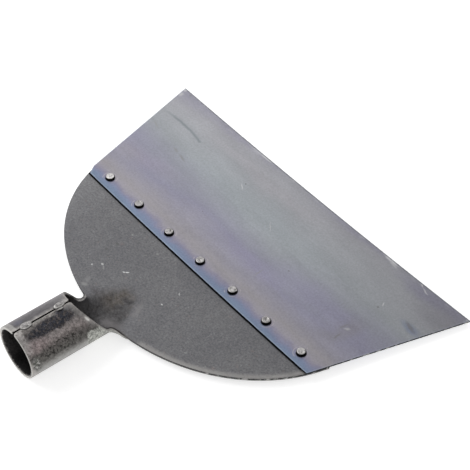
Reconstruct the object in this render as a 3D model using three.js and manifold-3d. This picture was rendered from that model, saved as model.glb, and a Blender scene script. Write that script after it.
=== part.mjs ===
import * as THREE from "three";
import { mergeVertices } from "three/addons/utils/BufferGeometryUtils.js";
import Module from "manifold-3d";

// Head of a manure scraper: a spring steel blade riveted to a steel plate, whose tail is rolled
// into a socket for a wooden handle, with two weld tacks on the socket's seam.
// Millimetres. +X runs across the blade, +Y towards its working edge, +Z up, as it lies on a floor.
// Reaches along Y are measured from the line of rivets.

// Blade.
const bladeEdgeWidth = 300;
const bladeEdgeReach = 102;
const bladeRearReach = 8.5;
const bladeRearOverhang = 0.8;
const bladeThickness = 1.2;
const bladeGrindWidth = 1.4;
const bladeGrindDepth = 0.5;
const bladeClipAcross = 2.6;
const bladeClipAlong = 6.5;

// Plate. Its outline is the rear part of an ellipse.
const sheetThickness = 2;
const plateFrontReach = 8;
const plateFrontWidth = 244.8;
const plateRearReach = 78.8;
const plateEllipseAhead = 23.3;
const plateCornerRadius = 2;

// Rise of both sheets' sides over their middle, at the ends of the blade's edge.
const bowRise = 2.65;

// Socket, rolled from the tail of the plate.
const socketDiameter = 36.5;
const seamLength = 42;
const seamGap = 1;
const seamCornerRadius = 1.8;
const nailHoleDiameter = 5.5;
const nailHoleFromMouth = 20;

// Notches between the socket and the plate, on the flat sheet.
const neckWidth = 42.6;
const notchRootRadius = 5.6;
const notchFlapLength = 13.8;
const notchFlapDegrees = 35;

// Where the roll starts to open, as a share of the way from the flap to the notch's root.
const neckOpenShare = 0.5;

// Trough pressed into the plate in front of the neck.
const troughDepth = 4.3;
const troughWidth = 54;
const troughNoseWidth = 36;
const troughLength = 27;

// Rivets.
const rivetCount = 7;
const rivetSideInset = 19.2;
const rivetShankDiameter = 4;
const rivetHeadDiameter = 6.6;
const rivetHeadHeight = 1.6;
const rivetHeadRound = 0.6;
const rivetSinkDiameter = 7;
const rivetSinkDepth = 1.5;
const rivetSinkRim = 0.3;

// Weld tacks on the seam.
const tackFromMouth = 9.6;
const tackFromSeamEnd = 7.7;
const tackLength = 8.8;
const tackWidth = 6;
const tackHeight = 1.5;
const tackRootDepth = 1.2;

// Clearances between pieces that touch, and the overrun of cuts.
const seatGap = 0.15;
const holeGap = 0.15;
const cutOverrun = 3;

// Fineness.
const socketSides = 44;
const plateColumnPitch = 15;
const flapSteps = 10;
const rootSteps = 8;
const outlineSteps = 15;
const troughSteps = 9;
const cornerSteps = 3;
const bladeColumnPitch = 15;
const roundSides = 24;
const tackSides = 20;
const sumSteps = 48;

const wasm = await Module();
wasm.setup();

const mix = (a, b, share) => a + (b - a) * share;
const smooth = (a, b, value) => THREE.MathUtils.smoothstep(value, a, b);

// The rolled socket, measured on the middle of its wall.
const midRadius = (socketDiameter - sheetThickness) / 2;
const seamHalf = Math.PI * midRadius - seamGap / 2;
const socketFloor = sheetThickness / 2;

// The plate's elliptical outline, worked out from where it ends.
const ellipseDepth = plateRearReach + plateEllipseAhead;
const ellipseShareAt = (y) => Math.sqrt(1 - ((plateEllipseAhead - y) / ellipseDepth) ** 2);
const ellipseHalf = plateFrontWidth / 2 / ellipseShareAt(plateFrontReach);
const plateHalfAt = (y) => ellipseHalf * ellipseShareAt(y);
const plateRearAt = (x) => plateEllipseAhead - ellipseDepth * Math.sqrt(1 - (x / ellipseHalf) ** 2);

// Stations along Y, from the notches back to the mouth.
const rootHalf = neckWidth / 2 + notchRootRadius;
const rootFrontY = plateRearAt(rootHalf);
const rootY = rootFrontY - notchRootRadius;
const flapTurn = THREE.MathUtils.degToRad(notchFlapDegrees);
const flapFrontY = rootY - notchRootRadius * Math.cos(flapTurn);
const flapFrontHalf = rootHalf - notchRootRadius * Math.sin(flapTurn);
const seamEndY = flapFrontY - notchFlapLength;
const mouthY = seamEndY - seamLength;
const neckOpenY = mix(flapFrontY, rootY, neckOpenShare);
const troughEndY = rootFrontY + troughLength;

// The depth of the trough makes both sheets lean, so that the blade's edge comes down to the floor.
const slope =
  (socketFloor + troughDepth + sheetThickness / 2 + seatGap) / (bladeEdgeReach - rootFrontY);
const bowFactor = bowRise / (bladeEdgeWidth / 2) ** 2;
const bow = (x) => bowFactor * x * x;
const bladeHeight = (y) => (bladeEdgeReach - y) * slope + bladeThickness / 2;
const plateHeight = (y) => bladeHeight(y) - (bladeThickness + sheetThickness) / 2 - seatGap;

// Sum of f from 0 to end.
function sum(f, end) {
  const step = end / sumSteps;
  let total = 0;
  for (let i = 0; i < sumSteps; i++) {
    total += f((i + 1 / 2) * step);
  }
  return total * step;
}

// A cross-section of the sheet. At t along the sheet from the middle, a full roll turns it by
// t / midRadius, as in the socket, and a flare flattens it out again at t = flare.
const turnAt = (t, { roll, flare }) => {
  const flat = Number.isFinite(flare) ? Math.max(0, 1 - (t / flare) ** 2) : 1;
  return ((roll * t) / midRadius) * flat * flat;
};
const riseAt = (t, section) => sum((u) => Math.sin(turnAt(u, section)), t);
const runAt = (t, section) => sum((u) => Math.cos(turnAt(u, section)), t);

// The roll that gives a flared section this depth.
function rollFor(depth, flare) {
  let low = 0;
  let high = 1;
  while (riseAt(flare, { roll: high, flare }) < depth) {
    high += 1;
  }
  for (let i = 0; i < sumSteps; i++) {
    const roll = (low + high) / 2;
    if (riseAt(flare, { roll, flare }) < depth) {
      low = roll;
    } else {
      high = roll;
    }
  }
  return low;
}

// The section at a station: the socket's, then the trough's, fading into the plate.
function makeSection(y) {
  if (y <= neckOpenY) {
    return { roll: 1, flare: Infinity, floor: socketFloor, opened: 0 };
  }
  const opened = smooth(neckOpenY, rootFrontY, y);
  const faded = smooth(rootFrontY, troughEndY, y);
  const half = mix(troughWidth, troughNoseWidth, faded) / 2;
  const depth = troughDepth * (1 - faded);
  const roll = rollFor(depth, half);
  const floor = y < rootFrontY ? socketFloor : plateHeight(y) - depth;
  return { roll: mix(1, roll, opened), flare: half / opened, floor, opened };
}
const sections = new Map();
function sectionAt(y) {
  if (!sections.has(y)) {
    sections.set(y, makeSection(y));
  }
  return sections.get(y);
}

function plateSurface(t, y) {
  const section = sectionAt(y);
  const x = runAt(t, section);
  return new THREE.Vector3(x, y, section.floor + riseAt(t, section) + section.opened * bow(x));
}
const bladeSurface = (t, y) => new THREE.Vector3(t, y, bladeHeight(y) + bow(t));

// Normal of a surface at a point, from the neighbouring points.
function normalOf(surface, t, y) {
  const step = sheetThickness / sumSteps;
  const along = surface(t, y + step).sub(surface(t, y - step));
  const across = surface(t + step, y).sub(surface(t - step, y));
  return across.cross(along).normalize();
}

// A sheet over rows of points, each row running from left to right at its own y. above and below
// give the distances of its two faces from the middle surface.
function sheetGeometry(surface, rows, above, below) {
  const position = [];
  const index = [];
  const place = (t, y, offset) => {
    const point = surface(t, y).addScaledVector(normalOf(surface, t, y), offset);
    position.push(point.x, point.y, point.z);
    return position.length / 3 - 1;
  };
  const tops = rows.map(({ y, across }) => across.map((t) => place(t, y, above(y))));
  const bottoms = rows.map(({ y, across }) => across.map((t) => place(t, y, -below(y))));
  const quad = (a, b, c, d) => index.push(a, b, c, a, c, d);
  for (let r = 0; r + 1 < rows.length; r++) {
    const near = rows[r].across;
    const far = rows[r + 1].across;
    let i = 0;
    let j = 0;
    while (i + 1 < near.length || j + 1 < far.length) {
      const stepNear = j + 1 === far.length || (i + 1 < near.length && near[i + 1] <= far[j + 1]);
      const [a, b] = [tops[r][i], tops[r + 1][j]];
      const [c, d] = [bottoms[r][i], bottoms[r + 1][j]];
      if (stepNear) {
        index.push(a, tops[r][i + 1], b, c, d, bottoms[r][i + 1]);
        i += 1;
      } else {
        index.push(a, tops[r + 1][j + 1], b, c, d, bottoms[r + 1][j + 1]);
        j += 1;
      }
    }
    quad(tops[r][0], tops[r + 1][0], bottoms[r + 1][0], bottoms[r][0]);
    quad(tops[r + 1].at(-1), tops[r].at(-1), bottoms[r].at(-1), bottoms[r + 1].at(-1));
  }
  const close = (top, bottom) => {
    for (let i = 0; i + 1 < top.length; i++) {
      quad(top[i + 1], top[i], bottom[i], bottom[i + 1]);
    }
  };
  close(tops[0], bottoms[0]);
  close(tops.at(-1).toReversed(), bottoms.at(-1).toReversed());
  const geometry = new THREE.BufferGeometry();
  geometry.setAttribute("position", new THREE.Float32BufferAttribute(position, 3));
  geometry.setIndex(index);
  return geometry;
}

// The t values of a row: its two ends, and the columns between them.
function rowBetween(left, right, columns) {
  const margin = sheetThickness / 4;
  const inner = columns.filter((t) => t > left + margin && t < right - margin);
  return [left, ...inner, right];
}
function columnsBetween(from, to, pitch) {
  const count = Math.max(1, Math.round((to - from) / pitch));
  return Array.from({ length: count + 1 }, (_, i) => mix(from, to, i / count));
}

// Quarter turns of a rounded corner, as shares of its radius.
const cornerShares = Array.from({ length: cornerSteps + 1 }, (_, i) => {
  const turn = ((i / cornerSteps) * Math.PI) / 2;
  return { out: Math.sin(turn), along: 1 - Math.cos(turn) };
});

// Outline of the flat plate as rows of { y, half }, from the mouth to the front edge.
function plateOutline() {
  const outline = [];
  const add = (y, half) => outline.push({ y, half });
  for (const { out, along } of cornerShares) {
    add(mouthY + seamCornerRadius * along, seamHalf - seamCornerRadius * (1 - out));
  }
  for (const { out, along } of cornerShares.toReversed()) {
    add(seamEndY - seamCornerRadius * along, seamHalf - seamCornerRadius * (1 - out));
  }
  // The flap's front edge runs straight off the seam's end and bends round to the notch's root.
  const flap = new THREE.QuadraticBezierCurve(
    new THREE.Vector2(seamEndY, seamHalf - seamCornerRadius),
    new THREE.Vector2(seamEndY, flapFrontHalf + notchFlapLength / Math.tan(flapTurn)),
    new THREE.Vector2(flapFrontY, flapFrontHalf),
  );
  for (let i = 1; i < flapSteps; i++) {
    const point = flap.getPoint(i / flapSteps);
    add(point.x, point.y);
  }
  for (let i = 0; i <= rootSteps; i++) {
    const turn = mix(flapTurn, Math.PI, i / rootSteps);
    add(rootY - notchRootRadius * Math.cos(turn), rootHalf - notchRootRadius * Math.sin(turn));
  }
  const fromTurn = Math.asin(rootHalf / ellipseHalf);
  const toTurn = Math.asin(plateHalfAt(plateFrontReach - plateCornerRadius) / ellipseHalf);
  for (let i = 1; i < outlineSteps; i++) {
    const turn = mix(fromTurn, toTurn, i / outlineSteps);
    add(plateEllipseAhead - ellipseDepth * Math.cos(turn), ellipseHalf * Math.sin(turn));
  }
  for (const { out, along } of cornerShares) {
    const half = plateFrontWidth / 2 - plateCornerRadius * along;
    add(plateFrontReach - plateCornerRadius * (1 - out), half);
  }
  return outline;
}

// Rows of the plate. The outline gives their ends, and the trough needs some more between them.
function plateRows() {
  const outline = plateOutline();
  for (let i = 1; i < troughSteps; i++) {
    const y = mix(rootFrontY, troughEndY, i / troughSteps);
    outline.push({ y, half: plateHalfAt(y) });
  }
  outline.sort((a, b) => a.y - b.y);
  const round = columnsBetween(-seamHalf, seamHalf, (2 * seamHalf) / socketSides);
  const troughHalf = troughWidth / 2;
  const inTrough = round.filter((t) => Math.abs(t) < troughHalf);
  const side = columnsBetween(troughHalf, ellipseHalf, plateColumnPitch);
  const troughColumns = [...side.map((t) => -t).reverse(), ...inTrough, ...side];
  const flat = columnsBetween(0, ellipseHalf, plateColumnPitch);
  const flatColumns = [...flat.map((t) => -t).reverse(), ...flat.slice(1)];
  return outline.map(({ y, half }) => {
    const beyond = y < troughEndY ? troughColumns : flatColumns;
    return { y, across: rowBetween(-half, half, y <= rootFrontY ? round : beyond) };
  });
}

// Rows of the blade. One rear corner is clipped, and a row just ahead of the plate starts the faces
// of the underside that lie free.
function bladeRows() {
  const rearY = -bladeRearReach;
  const rearHalf = plateHalfAt(rearY) + bladeRearOverhang;
  const halfAt = (y) => {
    const share = (y - rearY) / (bladeEdgeReach - rearY);
    return mix(rearHalf, bladeEdgeWidth / 2, share);
  };
  const side = columnsBetween(0, bladeEdgeWidth / 2, bladeColumnPitch);
  const columns = [...side.map((t) => -t).reverse(), ...side.slice(1)];
  const row = (y, clip) => ({ y, across: rowBetween(-halfAt(y) + clip, halfAt(y), columns) });
  return [
    row(rearY, bladeClipAcross),
    row(rearY + bladeClipAlong, 0),
    row(plateFrontReach + sheetThickness, 0),
    row(bladeEdgeReach - bladeGrindWidth, 0),
    row(bladeEdgeReach, 0),
  ];
}

// Closed geometry to a solid and back.
function solidOf(geometry) {
  const plain = new THREE.BufferGeometry();
  plain.setAttribute("position", geometry.getAttribute("position").clone());
  if (geometry.index) {
    plain.setIndex(geometry.index.clone());
  }
  const merged = mergeVertices(plain);
  const vertProperties = new Float32Array(merged.getAttribute("position").array);
  const triVerts = new Uint32Array(merged.index.array);
  return new wasm.Manifold(new wasm.Mesh({ numProp: 3, vertProperties, triVerts }));
}
function geometryOf(solid) {
  const { vertProperties, triVerts } = solid.getMesh();
  const geometry = new THREE.BufferGeometry();
  geometry.setAttribute("position", new THREE.Float32BufferAttribute(vertProperties, 3));
  geometry.setIndex(new THREE.Uint32BufferAttribute(triVerts, 1));
  geometry.computeVertexNormals();
  return geometry;
}

// A round body about Z, from its profile of [radius, height] points, bottom to top.
function turned(profile, sides = roundSides) {
  const points = profile.map(([radius, height]) => new THREE.Vector2(radius, height));
  return new THREE.LatheGeometry(points, sides).rotateX(Math.PI / 2);
}

// Rivets stand square to the sheets, on the line y = 0. Heights are measured from the blade's middle.
const rivetSpan = plateFrontWidth - 2 * rivetSideInset;
const rivetPlaces = columnsBetween(-rivetSpan / 2, rivetSpan / 2, rivetSpan / (rivetCount - 1));
function rivetMatrix(x) {
  const up = new THREE.Vector3(0, 0, 1);
  const turn = new THREE.Quaternion().setFromUnitVectors(up, normalOf(bladeSurface, x, 0));
  return new THREE.Matrix4().compose(bladeSurface(x, 0), turn, new THREE.Vector3(1, 1, 1));
}
const stackBottom = -bladeThickness / 2 - seatGap - sheetThickness;

// Profile of a rivet's shank and sunk head, widened by a gap, as needed for the rivet or its hole.
function sunkProfile(gap, overrun) {
  const shank = rivetShankDiameter / 2 + gap;
  const sunk = rivetSinkDiameter / 2 + gap;
  const rim = stackBottom + rivetSinkRim;
  return [
    [0, stackBottom - overrun],
    [sunk, stackBottom - overrun],
    [sunk, rim],
    [shank, rim + rivetSinkDepth - rivetSinkRim],
  ];
}
function rivetHole() {
  const top = bladeThickness / 2 + cutOverrun;
  const shank = rivetShankDiameter / 2 + holeGap;
  return turned([...sunkProfile(holeGap, cutOverrun), [shank, top], [0, top]]);
}
function rivetGeometry() {
  const seat = bladeThickness / 2 + seatGap;
  const head = rivetHeadDiameter / 2;
  const top = seat + rivetHeadHeight;
  const crown = cornerShares.map(({ out, along }) => [
    head - rivetHeadRound * along,
    top - rivetHeadRound * (1 - out),
  ]);
  return turned([
    ...sunkProfile(0, 0),
    [rivetShankDiameter / 2, seat],
    [head, seat],
    ...crown,
    [0, top],
  ]);
}

function withRivetHoles(solid) {
  return rivetPlaces.reduce(
    (rest, x) => rest.subtract(solidOf(rivetHole().applyMatrix4(rivetMatrix(x)))),
    solid,
  );
}

function socketPlateGeometry() {
  const half = () => sheetThickness / 2;
  const sheet = solidOf(sheetGeometry(plateSurface, plateRows(), half, half));
  const nailHole = new THREE.CylinderGeometry(
    nailHoleDiameter / 2,
    nailHoleDiameter / 2,
    sheetThickness + 2 * cutOverrun,
    roundSides,
  );
  nailHole.rotateX(Math.PI / 2);
  nailHole.translate(0, mouthY + nailHoleFromMouth, socketFloor);
  return geometryOf(withRivetHoles(sheet).subtract(solidOf(nailHole)));
}

function bladeGeometry() {
  const above = (y) => bladeThickness / 2 - (y < bladeEdgeReach ? 0 : bladeGrindDepth);
  const below = () => bladeThickness / 2;
  const sheet = solidOf(sheetGeometry(bladeSurface, bladeRows(), above, below));
  return geometryOf(withRivetHoles(sheet));
}

// A weld tack: a flat dome lying on the socket, with a root that fills the seam.
function tackGeometry(y) {
  const outer = socketDiameter / 2;
  const axisZ = socketFloor + midRadius;
  const topZ = axisZ + outer;
  const dome = new THREE.SphereGeometry(1, tackSides, tackSides / 2);
  dome.scale(tackWidth / 2, tackLength / 2, tackHeight);
  dome.translate(0, y, topZ);
  const socket = new THREE.CylinderGeometry(
    outer + seatGap,
    outer + seatGap,
    tackLength + 2 * cutOverrun,
    2 * socketSides,
  );
  socket.translate(0, y, axisZ);
  const rootHeight = tackRootDepth + tackHeight / 2;
  const root = new THREE.BoxGeometry(seamGap - 2 * holeGap, tackLength / 2, rootHeight);
  root.translate(0, y, topZ - tackRootDepth + rootHeight / 2);
  return geometryOf(solidOf(dome).subtract(solidOf(socket)).add(solidOf(root)));
}

const plateSteel = new THREE.MeshStandardMaterial({ color: 0x6f6e70, roughness: 0.55, metalness: 0.8 });
const bluedSteel = new THREE.MeshStandardMaterial({ color: 0x7f858f, roughness: 0.4, metalness: 0.85 });
const rivetSteel = new THREE.MeshStandardMaterial({ color: 0xa9abaf, roughness: 0.4, metalness: 0.85 });
const weldSteel = new THREE.MeshStandardMaterial({ color: 0xa5a4a3, roughness: 0.5, metalness: 0.8 });

const scraper = new THREE.Group();
scraper.position.y = -(bladeEdgeReach + mouthY) / 2;

function addPiece(name, geometry, material) {
  const mesh = new THREE.Mesh(geometry, material.clone());
  mesh.name = name;
  scraper.add(mesh);
  return mesh;
}

addPiece("socket_plate", socketPlateGeometry(), plateSteel);
addPiece("spring_blade", bladeGeometry(), bluedSteel);
rivetPlaces.forEach((x, i) => {
  const rivet = addPiece(`rivet_${i + 1}`, rivetGeometry(), rivetSteel);
  rivet.applyMatrix4(rivetMatrix(x));
});
addPiece("seam_tack_mouth", tackGeometry(mouthY + tackFromMouth), weldSteel);
addPiece("seam_tack_neck", tackGeometry(seamEndY - tackFromSeamEnd), weldSteel);

export default scraper;
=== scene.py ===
import math

import bmesh
import bpy
import numpy as np
from mathutils import Matrix, Quaternion, Vector, noise


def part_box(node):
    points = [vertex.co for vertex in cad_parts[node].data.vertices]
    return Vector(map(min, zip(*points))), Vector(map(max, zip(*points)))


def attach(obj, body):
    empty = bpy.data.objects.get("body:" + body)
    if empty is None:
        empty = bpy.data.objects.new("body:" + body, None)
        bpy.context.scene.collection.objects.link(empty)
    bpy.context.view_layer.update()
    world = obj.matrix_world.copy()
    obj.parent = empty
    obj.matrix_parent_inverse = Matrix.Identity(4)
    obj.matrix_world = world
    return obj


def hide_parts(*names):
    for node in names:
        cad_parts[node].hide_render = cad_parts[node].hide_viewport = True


# Looks of a manure scraper head: a blued spring steel blade, riveted to a plate with a rolled socket.
# Metres. +X runs across the blade, +Y towards its working edge, +Z up, as the head lies on a floor.

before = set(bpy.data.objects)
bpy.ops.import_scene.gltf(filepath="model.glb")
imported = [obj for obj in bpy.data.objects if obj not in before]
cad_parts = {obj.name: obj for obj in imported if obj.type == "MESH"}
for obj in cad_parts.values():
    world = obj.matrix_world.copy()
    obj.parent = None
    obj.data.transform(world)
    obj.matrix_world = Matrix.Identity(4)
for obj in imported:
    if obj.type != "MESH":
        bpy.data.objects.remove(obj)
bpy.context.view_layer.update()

# Sheets. Reaches along Y are measured from the line of rivets.
SHEET = 0.002
BLADE = 0.0012
SEAT_GAP = 0.00015
BLADE_EDGE_WIDTH = 0.3
BLADE_EDGE_REACH = 0.102
BLADE_REAR_REACH = 0.0085
BLADE_REAR_OVERHANG = 0.0008
BLADE_GRIND_WIDTH = 0.0014
BLADE_GRIND_DEPTH = 0.0005
BLADE_CREASE_STRIP = 0.0003
BLADE_CLIP_ACROSS = 0.0026
BLADE_CLIP_ALONG = 0.0065
PLATE_FRONT_REACH = 0.008
PLATE_FRONT_WIDTH = 0.2448
PLATE_REAR_REACH = 0.0788
PLATE_ELLIPSE_AHEAD = 0.0233
PLATE_CORNER_RADIUS = 0.002
BOW_RISE = 0.00265

# Socket, neck and trough.
SOCKET_DIAMETER = 0.0365
SEAM_LENGTH = 0.042
SEAM_GAP = 0.001
SEAM_CORNER_RADIUS = 0.0018
NAIL_HOLE_DIAMETER = 0.0055
NAIL_HOLE_FROM_MOUTH = 0.02
NECK_WIDTH = 0.0426
NOTCH_ROOT_RADIUS = 0.0056
NOTCH_FLAP_LENGTH = 0.0138
NOTCH_FLAP_TURN = math.radians(35)
NECK_OPEN_SHARE = 0.5
TROUGH_DEPTH = 0.0043
TROUGH_WIDTH = 0.054
TROUGH_NOSE_WIDTH = 0.036
TROUGH_LENGTH = 0.027

# Rivets and their holes.
RIVET_COUNT = 7
RIVET_SIDE_INSET = 0.0192
RIVET_SHANK = 0.004
RIVET_HEAD = 0.0066
RIVET_HEAD_HEIGHT = 0.0016
RIVET_HEAD_ROUND = 0.001
RIVET_SINK = 0.007
RIVET_SINK_DEPTH = 0.0015
RIVET_SINK_RIM = 0.0003
RIVET_DISH = 0.00012
RIVET_WOBBLE = 0.03
RIVET_SEED = 7.3
RIVET_STEPS = 48
CROWN_RINGS = 12
HOLE_GAP = 0.00015

# Weld tacks.
TACK_FROM_MOUTH = 0.0096
TACK_FROM_SEAM_END = 0.0077
TACK_LENGTH = 0.0088
TACK_WIDTH = 0.006
TACK_HEIGHT = 0.0015
TACK_ROOT = -TACK_HEIGHT * 0.7
TACK_SQUARENESS = 4
TACK_FOOT_SHARE = -0.2
TACK_RIPPLE = 0.0001
TACK_RIPPLES_ACROSS = 9
TACK_NOISE = (0.8, 2.0, 4)
TACK_SIDES = 64
TACK_RINGS = 48
MOUTH_TACK_SEED = 3.1
NECK_TACK_SEED = 8.4

# Rims and fineness.
RIM_ROUND = 0.00025
FINE_PITCH = 0.002
WIDE_PITCH = 0.005
SUM_STEPS = 48
ARC_STEP = math.radians(7)
FLAP_STEPS = 16
ELLIPSE_STEPS = 44
HOLE_SIDES = 32
HOLE_NEARNESS = 1.2
STATIONS = 120
MOST_ROLL = 2.0
SAME_PLACE = 1e-7
FLAT_ANGLE = math.radians(1)
RIM_ANGLE = math.radians(60)
SHEET_CREASE = math.radians(24)
RIVET_CREASE = math.radians(40)


def mix(a, b, share):
    return a + (b - a) * share


def smooth(low, high, value):
    share = np.clip((value - low) / (high - low), 0, 1)
    return share * share * (3 - 2 * share)


# Sizes that follow from the ones above.
MID_RADIUS = (SOCKET_DIAMETER - SHEET) / 2
SEAM_HALF = math.pi * MID_RADIUS - SEAM_GAP / 2
SOCKET_FLOOR = SHEET / 2
ELLIPSE_DEPTH = PLATE_REAR_REACH + PLATE_ELLIPSE_AHEAD


def ellipse_share(y):
    return math.sqrt(1 - ((PLATE_ELLIPSE_AHEAD - y) / ELLIPSE_DEPTH) ** 2)


ELLIPSE_HALF = PLATE_FRONT_WIDTH / 2 / ellipse_share(PLATE_FRONT_REACH)
ROOT_HALF = NECK_WIDTH / 2 + NOTCH_ROOT_RADIUS
ROOT_FRONT_Y = PLATE_ELLIPSE_AHEAD - ELLIPSE_DEPTH * math.sqrt(1 - (ROOT_HALF / ELLIPSE_HALF) ** 2)
ROOT_Y = ROOT_FRONT_Y - NOTCH_ROOT_RADIUS
FLAP_FRONT_Y = ROOT_Y - NOTCH_ROOT_RADIUS * math.cos(NOTCH_FLAP_TURN)
FLAP_FRONT_HALF = ROOT_HALF - NOTCH_ROOT_RADIUS * math.sin(NOTCH_FLAP_TURN)
NECK_OPEN_Y = mix(FLAP_FRONT_Y, ROOT_Y, NECK_OPEN_SHARE)
SEAM_END_Y = FLAP_FRONT_Y - NOTCH_FLAP_LENGTH
MOUTH_Y = SEAM_END_Y - SEAM_LENGTH
TROUGH_END_Y = ROOT_FRONT_Y + TROUGH_LENGTH
SLOPE = (SOCKET_FLOOR + TROUGH_DEPTH + SHEET / 2 + SEAT_GAP) / (BLADE_EDGE_REACH - ROOT_FRONT_Y)
RIVET_SPAN = PLATE_FRONT_WIDTH - 2 * RIVET_SIDE_INSET
RIVET_PITCH = RIVET_SPAN / (RIVET_COUNT - 1)

# Ways of a flat sheet, which lie along X, Y and Z. The last goes through its thickness.
ACROSS, ALONG, THROUGH = range(3)

# Where the sheets are cut so that they can be bent: way, start, end and pitch.
PLATE_CUTS = [
    (ACROSS, -ELLIPSE_HALF, -SEAM_HALF, WIDE_PITCH),
    (ACROSS, -SEAM_HALF, SEAM_HALF, FINE_PITCH),
    (ACROSS, SEAM_HALF, ELLIPSE_HALF, WIDE_PITCH),
    (ALONG, MOUTH_Y, FLAP_FRONT_Y, WIDE_PITCH),
    (ALONG, FLAP_FRONT_Y, TROUGH_END_Y, FINE_PITCH / 2),
    (ALONG, TROUGH_END_Y, PLATE_FRONT_REACH, WIDE_PITCH),
]
BLADE_CUTS = [
    (ACROSS, -BLADE_EDGE_WIDTH / 2, BLADE_EDGE_WIDTH / 2, WIDE_PITCH),
    (ALONG, -BLADE_REAR_REACH, BLADE_EDGE_REACH, WIDE_PITCH),
]

# The line of rivets in the frame, found from the socket's mouth, and the blade's two edges.
RIVET_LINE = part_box("socket_plate")[0].y - MOUTH_Y
BLADE_REAR_Y = RIVET_LINE - BLADE_REAR_REACH
BLADE_FRONT_Y = RIVET_LINE + BLADE_EDGE_REACH


# Bent sheets, as in the solids.


def bow(x):
    return BOW_RISE * (x / (BLADE_EDGE_WIDTH / 2)) ** 2


def blade_height(y):
    return (BLADE_EDGE_REACH - y) * SLOPE + BLADE / 2


def plate_height(y):
    return blade_height(y) - (BLADE + SHEET) / 2 - SEAT_GAP


def run_and_rise(t, roll, flare):
    """How far a section has run across and risen, t along the sheet from its middle."""
    step = t / SUM_STEPS
    run = np.zeros_like(step)
    rise = np.zeros_like(step)
    for i in range(SUM_STEPS):
        at = (i + 0.5) * step
        turn = roll * at / MID_RADIUS * np.clip(1 - (at / flare) ** 2, 0, None) ** 2
        run += np.cos(turn)
        rise += np.sin(turn)
    return run * step, rise * step


def trough_roll(depth, half):
    """The roll that gives a flared section this depth."""
    low = np.zeros_like(depth)
    high = np.full_like(depth, MOST_ROLL)
    for _ in range(SUM_STEPS):
        roll = (low + high) / 2
        shallow = run_and_rise(half, roll, half)[1] < depth
        low = np.where(shallow, roll, low)
        high = np.where(shallow, high, roll)
    return low


def trough_at(y):
    """Half width and depth of the trough."""
    faded = smooth(ROOT_FRONT_Y, TROUGH_END_Y, y)
    return mix(TROUGH_WIDTH, TROUGH_NOSE_WIDTH, faded) / 2, TROUGH_DEPTH * (1 - faded)


station_y = np.linspace(NECK_OPEN_Y, TROUGH_END_Y, STATIONS)
station_roll = trough_roll(trough_at(station_y)[1], trough_at(station_y)[0])


def plate_surface(t, y):
    opened = smooth(NECK_OPEN_Y, ROOT_FRONT_Y, y)
    half, depth = trough_at(y)
    roll = mix(1, np.interp(y, station_y, station_roll), opened)
    floor = np.where(y < ROOT_FRONT_Y, SOCKET_FLOOR, plate_height(y) - depth)
    flare = half / np.maximum(opened, 1e-9)
    x, rise = run_and_rise(t, roll, flare)
    return np.stack([x, y, floor + rise + opened * bow(x)], axis=-1)


def blade_surface(t, y):
    return np.stack([t, y, blade_height(y) + bow(t)], axis=-1)


def normal_of(surface, t, y):
    step = SHEET / SUM_STEPS
    along = surface(t, y + step) - surface(t, y - step)
    across = surface(t + step, y) - surface(t - step, y)
    normal = np.cross(across, along)
    return normal / np.linalg.norm(normal, axis=-1, keepdims=True)


# Blanks: flat sheets, cut to their outline, which are then bent.


def arc(centre, radius, start, end):
    """Points round a centre, from one turn to another. A turn of zero points along +Y."""
    steps = max(2, math.ceil(abs(end - start) / ARC_STEP))
    turns = [mix(start, end, i / steps) for i in range(steps + 1)]
    return [(centre[0] + radius * math.sin(a), centre[1] + radius * math.cos(a)) for a in turns]


def plate_half_outline():
    """Right half of the plate's outline, from the mouth to the front edge."""
    quarter = math.pi / 2
    inner = SEAM_HALF - SEAM_CORNER_RADIUS
    points = arc((inner, MOUTH_Y + SEAM_CORNER_RADIUS), SEAM_CORNER_RADIUS, 2 * quarter, quarter)
    points += arc((inner, SEAM_END_Y - SEAM_CORNER_RADIUS), SEAM_CORNER_RADIUS, quarter, 0)
    start = Vector((inner, SEAM_END_Y))
    bend = Vector((FLAP_FRONT_HALF + NOTCH_FLAP_LENGTH / math.tan(NOTCH_FLAP_TURN), SEAM_END_Y))
    end = Vector((FLAP_FRONT_HALF, FLAP_FRONT_Y))
    for i in range(1, FLAP_STEPS):
        share = i / FLAP_STEPS
        point = start.lerp(bend, share).lerp(bend.lerp(end, share), share)
        points.append((point.x, point.y))
    points += arc((ROOT_HALF, ROOT_Y), NOTCH_ROOT_RADIUS, math.pi + NOTCH_FLAP_TURN, 2 * math.pi)
    first = math.asin(ROOT_HALF / ELLIPSE_HALF)
    last = math.acos((PLATE_ELLIPSE_AHEAD - PLATE_FRONT_REACH + PLATE_CORNER_RADIUS) / ELLIPSE_DEPTH)
    for i in range(1, ELLIPSE_STEPS):
        turn = mix(first, last, i / ELLIPSE_STEPS)
        points.append((ELLIPSE_HALF * math.sin(turn), PLATE_ELLIPSE_AHEAD - ELLIPSE_DEPTH * math.cos(turn)))
    corner = (PLATE_FRONT_WIDTH / 2 - PLATE_CORNER_RADIUS, PLATE_FRONT_REACH - PLATE_CORNER_RADIUS)
    return points + arc(corner, PLATE_CORNER_RADIUS, quarter, 0)


def plate_outline():
    right = plate_half_outline()
    return right + [(-x, y) for x, y in reversed(right)]


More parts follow.
